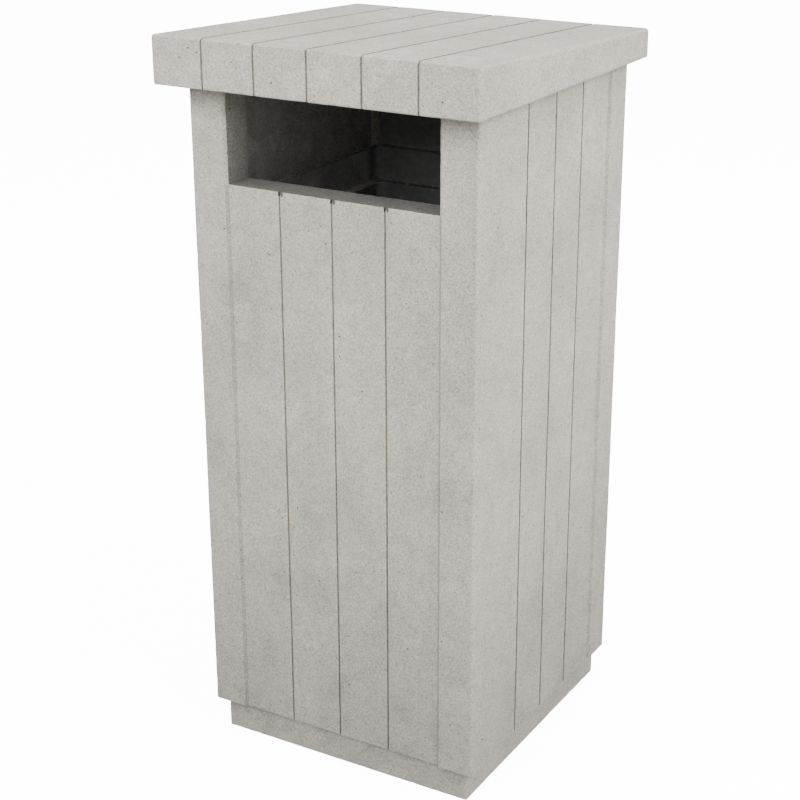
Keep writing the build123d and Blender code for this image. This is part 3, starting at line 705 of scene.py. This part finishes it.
class Finish:
    """The node tree of one material or world, with short names for its nodes."""

    def __init__(self, owner, coordinates="Object"):
        owner.use_nodes = True
        self.owner = owner
        self.tree = owner.node_tree
        self.place = self.add("ShaderNodeTexCoord").outputs[coordinates]
        turned = self.add("ShaderNodeMapping")
        self.feed(turned.inputs["Vector"], self.place)
        turned.inputs["Rotation"].default_value = GRAIN_TURN
        self.grain_place = turned.outputs["Vector"]

    def add(self, kind, **settings):
        node = self.tree.nodes.new(kind)
        for key, value in settings.items():
            setattr(node, key, value)
        return node

    def feed(self, socket, value):
        if hasattr(value, "is_output"):
            self.tree.links.new(value, socket)
        else:
            socket.default_value = value

    def stretched(self, scale):
        """Coordinates for marks that are drawn out along one axis."""
        node = self.add("ShaderNodeMapping")
        self.feed(node.inputs["Vector"], self.place)
        node.inputs["Scale"].default_value = scale
        return node.outputs["Vector"]

    def noise(self, scale, detail=3.0, roughness=0.55, place=None, distortion=0.0):
        node = self.add("ShaderNodeTexNoise")
        self.feed(node.inputs["Vector"], place or self.grain_place)
        node.inputs["Scale"].default_value = scale
        node.inputs["Detail"].default_value = detail
        node.inputs["Roughness"].default_value = roughness
        node.inputs["Distortion"].default_value = distortion
        return node.outputs["Fac"]

    def cells(self, scale, feature="F1"):
        node = self.add("ShaderNodeTexVoronoi", feature=feature)
        self.feed(node.inputs["Vector"], self.grain_place)
        node.inputs["Scale"].default_value = scale
        return node

    def fit(self, value, low, high, to_low=0.0, to_high=1.0, smooth=False):
        """The value from low to high turned into one from to_low to to_high."""
        node = self.add("ShaderNodeMapRange")
        if smooth:
            node.interpolation_type = "SMOOTHSTEP"
        self.feed(node.inputs["Value"], value)
        for key, number in (("From Min", low), ("From Max", high), ("To Min", to_low),
                            ("To Max", to_high)):
            node.inputs[key].default_value = number
        return node.outputs["Result"]

    def calc(self, operation, a, b):
        node = self.add("ShaderNodeMath", operation=operation)
        self.feed(node.inputs[0], a)
        self.feed(node.inputs[1], b)
        return node.outputs["Value"]

    def mix(self, factor, a, b, blend="MIX"):
        """Two colours mixed. The sockets are numbered, as each name stands for four types."""
        node = self.add("ShaderNodeMix", data_type="RGBA", blend_type=blend)
        self.feed(node.inputs[0], factor)
        self.feed(node.inputs[6], (*a, 1) if isinstance(a, tuple) else a)
        self.feed(node.inputs[7], (*b, 1) if isinstance(b, tuple) else b)
        return node.outputs[2]

    def times(self, colour, factor):
        return self.mix(1.0, colour, factor, "MULTIPLY")

    def axis(self, name):
        node = self.add("ShaderNodeSeparateXYZ")
        self.feed(node.inputs[0], self.place)
        return node.outputs[name]

    def bump(self, height, distance, strength=1.0, normal=None):
        node = self.add("ShaderNodeBump")
        node.inputs["Strength"].default_value = strength
        node.inputs["Distance"].default_value = distance
        self.feed(node.inputs["Height"], height)
        if normal is not None:
            self.feed(node.inputs["Normal"], normal)
        return node.outputs["Normal"]

    def done(self, colour, rough, normal, metallic=0.0, specular=0.5):
        """The finished material."""
        shader = self.tree.nodes["Principled BSDF"]
        self.feed(shader.inputs["Base Color"], colour)
        self.feed(shader.inputs["Roughness"], rough)
        self.feed(shader.inputs["Normal"], normal)
        shader.inputs["Metallic"].default_value = metallic
        shader.inputs["Specular IOR Level"].default_value = specular
        return self.owner


# Where painted light and shade are, in metres: the top of the painted shade at the foot, the
# bands of painted shadow under the lid and of painted shade in the liner, and the liner's left
# side, brightened by painted light, up to its back corner.
FOOT_SHADE_TOP = 0.62
LID_SHADOW_SPAN = (1.045, body_top * MM)
SLOT_SHADING = (sill_height * MM, body_top * MM)
LINER_SHADE_SPAN = (0.66, 0.84)
RIM_SHADE_SPAN = (COLLAR_HIGH.z * MM - 0.004, COLLAR_HIGH.z * MM - 0.001)
LINER_LEFT = (-0.17, -0.15)
LINER_BACK = (0.15, 0.19)
INNER_SHADING = 1.1


def concrete(name, pale, deep, warm, foot_shade=1.0, lid_shadow=1.0, coarse=1.0,
             slot_shade_low=1.0, slot_shade_high=1.0, slot_reach=None):
    """Fair-faced concrete: clouded, finely speckled, with pores in painted shade and joints with
    dirt and painted shade, and where asked painted shade at the foot, painted shadow under the lid
    and painted shade and light beside the slot, which fades towards the back over the reach given."""
    m = Finish(bpy.data.materials.new(name))
    clouds = m.noise(6.5, 5, 0.62)
    blotches = m.noise(27, 5, 0.6, distortion=0.4)
    runs = m.noise(1.0, 4, 0.55, place=m.stretched((34, 34, 2.6)))
    speckle = m.noise(330, 3, 0.75)
    sand = m.noise(900, 2, 0.7)
    colour = m.mix(m.fit(clouds, 0.36, 0.64), deep, pale)
    colour = m.mix(m.fit(blotches, 0.42, 0.60, 0, 0.85), colour, warm)
    colour = m.mix(m.fit(m.noise(60, 4, 0.6), 0.48, 0.68, 0, 0.6), colour, deep)
    colour = m.mix(m.fit(runs, 0.55, 0.75, 0, 0.5), colour, deep)
    colour = m.times(colour, m.fit(speckle, 0.3, 0.7, 0.6, 1.34))
    colour = m.times(colour, m.fit(sand, 0.3, 0.7, 0.72, 1.22))
    cells = m.cells(85)
    pick = m.add("ShaderNodeSeparateColor")
    m.feed(pick.inputs[0], cells.outputs["Color"])
    chosen = m.fit(pick.outputs[0], 0.5, 0.52)
    size = m.fit(pick.outputs[1], 0, 1, 0.05, 0.17)
    pores = m.calc("MULTIPLY", chosen, m.calc("LESS_THAN", cells.outputs["Distance"], size))
    # The pores are darkened with painted shade.
    colour = m.mix(m.calc("MULTIPLY", pores, 0.55), colour, (0.12, 0.115, 0.105))
    # Dirt and painted shade in the joints, painted shade on the chamfers, painted shadow at the
    # joint heads and painted shade in the air holes.
    grime_and_shade = m.add("ShaderNodeAttribute", attribute_name="grime_and_shade").outputs["Fac"]
    colour = m.mix(m.fit(grime_and_shade, 0.1, 0.8, 0, 0.9), colour, (0.06, 0.057, 0.05))
    # Painted shade, darker towards the bottom.
    foot_shading = m.fit(m.axis("Z"), 0.0, FOOT_SHADE_TOP, foot_shade, 1.0, smooth=True)
    colour = m.times(colour, foot_shading)
    # Painted shadow of the lid's overhang on the top of the walls.
    lid_shadow_factor = m.fit(m.axis("Z"), *LID_SHADOW_SPAN, 1.0, lid_shadow, smooth=True)
    colour = m.times(colour, lid_shadow_factor)
    # Painted shade and light beside the slot: darker at the sill, lighter at the lid, and where a
    # reach is given, one even lift further back.
    slot_shading = m.fit(m.axis("Z"), *SLOT_SHADING, slot_shade_low, slot_shade_high)
    if slot_reach:
        start = inner_front * MM
        depth = m.fit(m.axis("Y"), start, start + slot_reach)
        slot_shading = m.mix(depth, slot_shading, (INNER_SHADING,) * 3)
    colour = m.times(colour, slot_shading)
    colour = m.times(colour, m.fit(m.noise(1400, 1, 0.5), 0.25, 0.75, 0.86, 1.13))
    rough = m.fit(blotches, 0.3, 0.7, 0.82, 0.96)
    normal = m.bump(m.calc("SUBTRACT", m.noise(140, 4, 0.6), m.calc("MULTIPLY", pores, 0.8)),
                    0.0009 * coarse)
    normal = m.bump(speckle, 0.0006 * coarse, 0.9, normal)
    return m.done(colour, rough, normal, specular=0.25)


def metal(name, pale, deep, rough_low, rough_high, grain, stretch=(1, 1, 1), metallic=1.0,
          band_shade=1.0, shade_span=LINER_SHADE_SPAN, left_light=1.0):
    """Bare metal with patchy tone, fine scratches and handling marks. Where asked, painted shade
    darkens a band of heights, on the liner's upper part or its rim, and painted light brightens
    the liner's left side."""
    m = Finish(bpy.data.materials.new(name))
    spangle = m.cells(grain, "SMOOTH_F1")
    patches = m.noise(14, 5, 0.6)
    marks = m.noise(260, 4, 0.7, place=m.stretched(stretch))
    tone = m.calc("MULTIPLY", m.fit(patches, 0.3, 0.7), 0.6)
    tone = m.calc("ADD", tone, m.calc("MULTIPLY", spangle.outputs["Distance"], 0.5))
    colour = m.mix(tone, deep, pale)
    colour = m.mix(m.fit(marks, 0.55, 0.75, 0, 0.35), colour, deep)
    # Painted shade over the band of heights given.
    colour = m.times(colour, m.fit(m.axis("Z"), *shade_span, 1.0, band_shade, smooth=True))
    # Painted light on the liner's left side, in front of its back corner.
    lit_left = m.calc("MULTIPLY", m.fit(m.axis("X"), *LINER_LEFT, 1, 0, smooth=True),
                  m.fit(m.axis("Y"), *LINER_BACK, 1, 0, smooth=True))
    colour = m.times(colour, m.mix(lit_left, (1.0, 1.0, 1.0), (left_light,) * 3))
    rough = m.fit(marks, 0.3, 0.7, rough_low, rough_high)
    normal = m.bump(marks, 0.00012)
    return m.done(colour, rough, normal, metallic=metallic)


def paint(name, pale, deep):
    """Powder coat with a fine orange-peel skin, dulled and dusty."""
    m = Finish(bpy.data.materials.new(name))
    dust = m.noise(9, 6, 0.62)
    runs = m.noise(1.0, 4, 0.6, place=m.stretched((40, 40, 2.0)))
    peel = m.noise(420, 2, 0.5)
    colour = m.mix(m.fit(dust, 0.35, 0.65), deep, pale)
    colour = m.mix(m.fit(runs, 0.55, 0.75, 0, 0.4), colour, deep)
    colour = m.times(colour, m.fit(peel, 0.3, 0.7, 0.96, 1.03))
    rough = m.fit(dust, 0.3, 0.7, 0.45, 0.62)
    return m.done(colour, rough, m.bump(peel, 0.00025), specular=0.4)


def moulded(name, pale, deep, grain):
    """Rubber or nylon with a fine moulded grain and worn patches."""
    m = Finish(bpy.data.materials.new(name))
    patches = m.noise(40, 4, 0.6)
    fine = m.noise(grain, 3, 0.6)
    colour = m.mix(m.fit(patches, 0.35, 0.65), deep, pale)
    rough = m.fit(patches, 0.3, 0.7, 0.6, 0.85)
    return m.done(colour, rough, m.bump(fine, 0.0002), specular=0.35)


# Painted shade at the foot and painted shadow under the lid.
outside = concrete("concrete_fair_face", (0.515, 0.49, 0.434), (0.365, 0.347, 0.306),
                   (0.46, 0.430, 0.366), foot_shade=0.73, lid_shadow=0.9)
lid_concrete = concrete("concrete_lid", (0.545, 0.518, 0.459), (0.40, 0.38, 0.334),
                        (0.475, 0.444, 0.38), coarse=1.7)
# Shaded copies of the concrete: painted shade on the slot's jambs and sill and inside the hollow,
# with painted light near the lid.
jamb = concrete("concrete_slot_jamb_shaded", (0.31, 0.303, 0.281), (0.235, 0.228, 0.211),
                (0.257, 0.246, 0.22), slot_shade_low=0.6, slot_shade_high=1.22)
sill = concrete("concrete_slot_sill_shaded", (0.168, 0.164, 0.153), (0.121, 0.118, 0.11),
                (0.137, 0.131, 0.117))
inside = concrete("concrete_inside_shaded", (0.28, 0.275, 0.26), (0.205, 0.2, 0.189),
                  (0.22, 0.211, 0.192), slot_shade_low=0.5, slot_shade_high=1.15, slot_reach=0.09)

FINISHES = {
    "galvanised_steel": metal("galvanised_steel_dull", (0.265, 0.268, 0.27), (0.155, 0.157, 0.16),
                              0.5, 0.7, 120, metallic=0.45),
    "stainless_steel": metal("stainless_steel_satin", (0.56, 0.56, 0.55), (0.36, 0.36, 0.35),
                             0.22, 0.38, 300, stretch=(1, 1, 14)),
    "zinc_fasteners": metal("zinc_fastener", (0.52, 0.52, 0.5), (0.3, 0.3, 0.29), 0.32, 0.5, 400),
    "door_paint": paint("door_powder_coat", (0.315, 0.308, 0.29), (0.27, 0.264, 0.249)),
    "rubber": moulded("rubber_black", (0.045, 0.045, 0.045), (0.02, 0.02, 0.02), 700),
    "nylon": moulded("nylon_natural", (0.56, 0.55, 0.5), (0.42, 0.41, 0.37), 500),
}

# Nodes whose finish is a darker copy with painted shade, and on the liner painted light.
SHADED_FINISHES = {
    "door_inner_skin": metal("galvanised_steel_shaded", (0.17, 0.17, 0.165),
                             (0.09, 0.09, 0.088), 0.6, 0.8, 120, metallic=0.4),
    "liner_body": metal("galvanised_steel_liner", (0.265, 0.268, 0.27), (0.155, 0.157, 0.16),
                        0.55, 0.75, 120, metallic=0.4, band_shade=0.42, left_light=2.2),
    "liner_collar": metal("galvanised_steel_collar", (0.15, 0.15, 0.147), (0.088, 0.088, 0.086),
                          0.55, 0.75, 120, metallic=0.4, band_shade=0.62, shade_span=RIM_SHADE_SPAN,
                          left_light=3.0),
}


# --- Pieces --------------------------------------------------------------------------

# Places in the body's list of materials. The outside is the first of them.
JAMB_SLOT, SILL_SLOT, INSIDE_SLOT = 1, 2, 3


def is_inside(face):
    """True for a face of the hollow, up to a strip beside the door that keeps the outer finish as
    painted light from the door's gap.
    """
    place = face.calc_center_median()
    lit_strip = 11
    return (abs(place.x) < inner_half_width + 0.9
            and inner_front - 0.9 < place.y < door_face - lit_strip
            and place.z > floor_top - 1)


def is_reveal(face):
    """True for the sill and the jambs of the slot."""
    place = face.calc_center_median()
    return (abs(place.x) < slot_half_width + 0.1 and panel_face + 0.8 < place.y < inner_front + 1
            and place.z > sill_height - 0.2)


def on_outer_wall(place, normal):
    """True for the upright outer faces of the body, where its air holes are."""
    in_hollow = abs(place.x) < inner_half_width + 2 and inner_front - 2 < place.y
    return abs(normal.z) < 0.1 and place.z < body_top and not in_hollow


def off_underside(_, normal):
    """True for the upright faces and the top of the lid."""
    return normal.z > -0.1


# The offsets of the vector noise come from this seed, so that each run gives one shape.
noise.seed_set(5)

body = body_mesh()
body.normal_update()
for face in body.faces:
    if is_inside(face):
        face.material_index = INSIDE_SLOT
    elif is_reveal(face):
        face.material_index = SILL_SLOT if face.normal.z > 0.5 else JAMB_SLOT
mark_grime_and_shade(body, body_dirt_and_shade)
air_holes(body, 380, 11, on_outer_wall)
uneven(body, 0.35, 0.12)
body_piece = finished(body, "body_casting", [outside, jamb, sill, inside])
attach(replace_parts(body_piece, "body_shell"), "bin")

lid = lid_mesh()
mark_grime_and_shade(lid, lid_dirt_and_shade)
air_holes(lid, 190, 12, off_underside)
uneven(lid, 0.3, 0.12)
lid_piece = finished(lid, "lid_casting", [lid_concrete])
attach(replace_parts(lid_piece, "lid_slab"), "bin")

slot_of = {row["node"]: row["material_slot"] for row in frame["record"]["subparts"]}
for name, node in frame["nodes"].items():
    # The two castings stand in for their nodes, which are hidden.
    if node.hide_render:
        continue
    finish = SHADED_FINISHES.get(name, FINISHES[slot_of[name]])
    node.data.materials.clear()
    node.data.materials.append(finish)
    weld = node.modifiers.new("weld", "WELD")
    weld.merge_threshold = 0.00001
    bevel = node.modifiers.new("soft_edges", "BEVEL")
    bevel.width = 0.0004
    bevel.segments = 2
    bevel.limit_method = "ANGLE"
    bevel.angle_limit = math.radians(50)
    even_normals(node)


# --- Floor, light and camera -----------------------------------------------------------

def backdrop():
    """A plain pale floor that curves up into a wall and a ceiling, seen by the camera only,
    so that it lights nothing and isn't mirrored in the metal."""
    profile = [(0.0, 0.0), (20, 0.0), (24, 1.5), (26, 6), (26, 20), (18, 27), (0.0, 30)]
    count = 48
    points = []
    for radius, height in profile:
        for k in range(count):
            turn = 2 * math.pi * k / count
            points.append((radius * math.cos(turn), radius * math.sin(turn), height))
    faces = []
    for ring in range(len(profile) - 1):
        for k in range(count):
            a, b = ring * count + k, ring * count + (k + 1) % count
            faces.append((a, b, b + count, a + count))
    data = bpy.data.meshes.new("studio_backdrop")
    data.from_pydata(points, [], faces)
    data.shade_smooth()
    material = bpy.data.materials.new("studio_backdrop")
    material.use_nodes = True
    shader = material.node_tree.nodes["Principled BSDF"]
    shader.inputs["Base Color"].default_value = (0.93, 0.93, 0.925, 1)
    shader.inputs["Roughness"].default_value = 1.0
    shader.inputs["Specular IOR Level"].default_value = 0.0
    shader.inputs["Emission Color"].default_value = (1, 1, 1, 1)
    shader.inputs["Emission Strength"].default_value = 13.0
    data.materials.append(material)
    room = bpy.data.objects.new("studio_backdrop", data)
    room.visible_diffuse = False
    room.visible_glossy = False
    room.visible_shadow = False
    bpy.context.scene.collection.objects.link(room)


def aimed(item, place, target):
    """Puts a light or the camera in its place and turns it to its target."""
    item.location = place
    item.rotation_euler = (Vector(target) - Vector(place)).to_track_quat("-Z", "Y").to_euler()


def softbox(name, place, target, power):
    """A square lamp with sides of two metres."""
    data = bpy.data.lights.new(name, "AREA")
    data.shape = "SQUARE"
    data.size = 2.0
    data.energy = power
    lamp = bpy.data.objects.new(name, data)
    bpy.context.scene.collection.objects.link(lamp)
    aimed(lamp, place, target)


def camera():
    """The point of view of a standing person, before the bin and to its right."""
    eye = (1.366, -2.373, 1.626)
    target = (-0.029, 0.0, 0.563)
    roll = math.radians(-0.19)
    data = bpy.data.cameras.new("camera")
    data.lens = 79.15
    data.sensor_width = 36
    item = bpy.data.objects.new("camera", data)
    bpy.context.scene.collection.objects.link(item)
    aimed(item, eye, target)
    item.rotation_euler.rotate_axis("Z", roll)
    bpy.context.scene.camera = item


def studio_world():
    """Soft light from all round, brighter above the horizon than below it."""
    world = bpy.data.worlds.new("studio")
    sky = Finish(world, "Generated")
    background = world.node_tree.nodes["Background"]
    brightness = sky.fit(sky.axis("Z"), -0.35, 0.1, 0.5, 1.4, smooth=True)
    sky.feed(background.inputs["Strength"], brightness)
    background.inputs["Color"].default_value = (1, 0.995, 0.985, 1)
    bpy.context.scene.world = world


studio_world()
backdrop()
softbox("right_softbox", (3.4, -0.5, 2.35), (0, 0, 0.6), 203)
softbox("front_softbox", (-0.4, -3.3, 3.0), (0, 0, 0.7), 157)
softbox("rear_softbox", (-1.4, 3.5, 2.0), (0, 0, 0.6), 50)
camera()
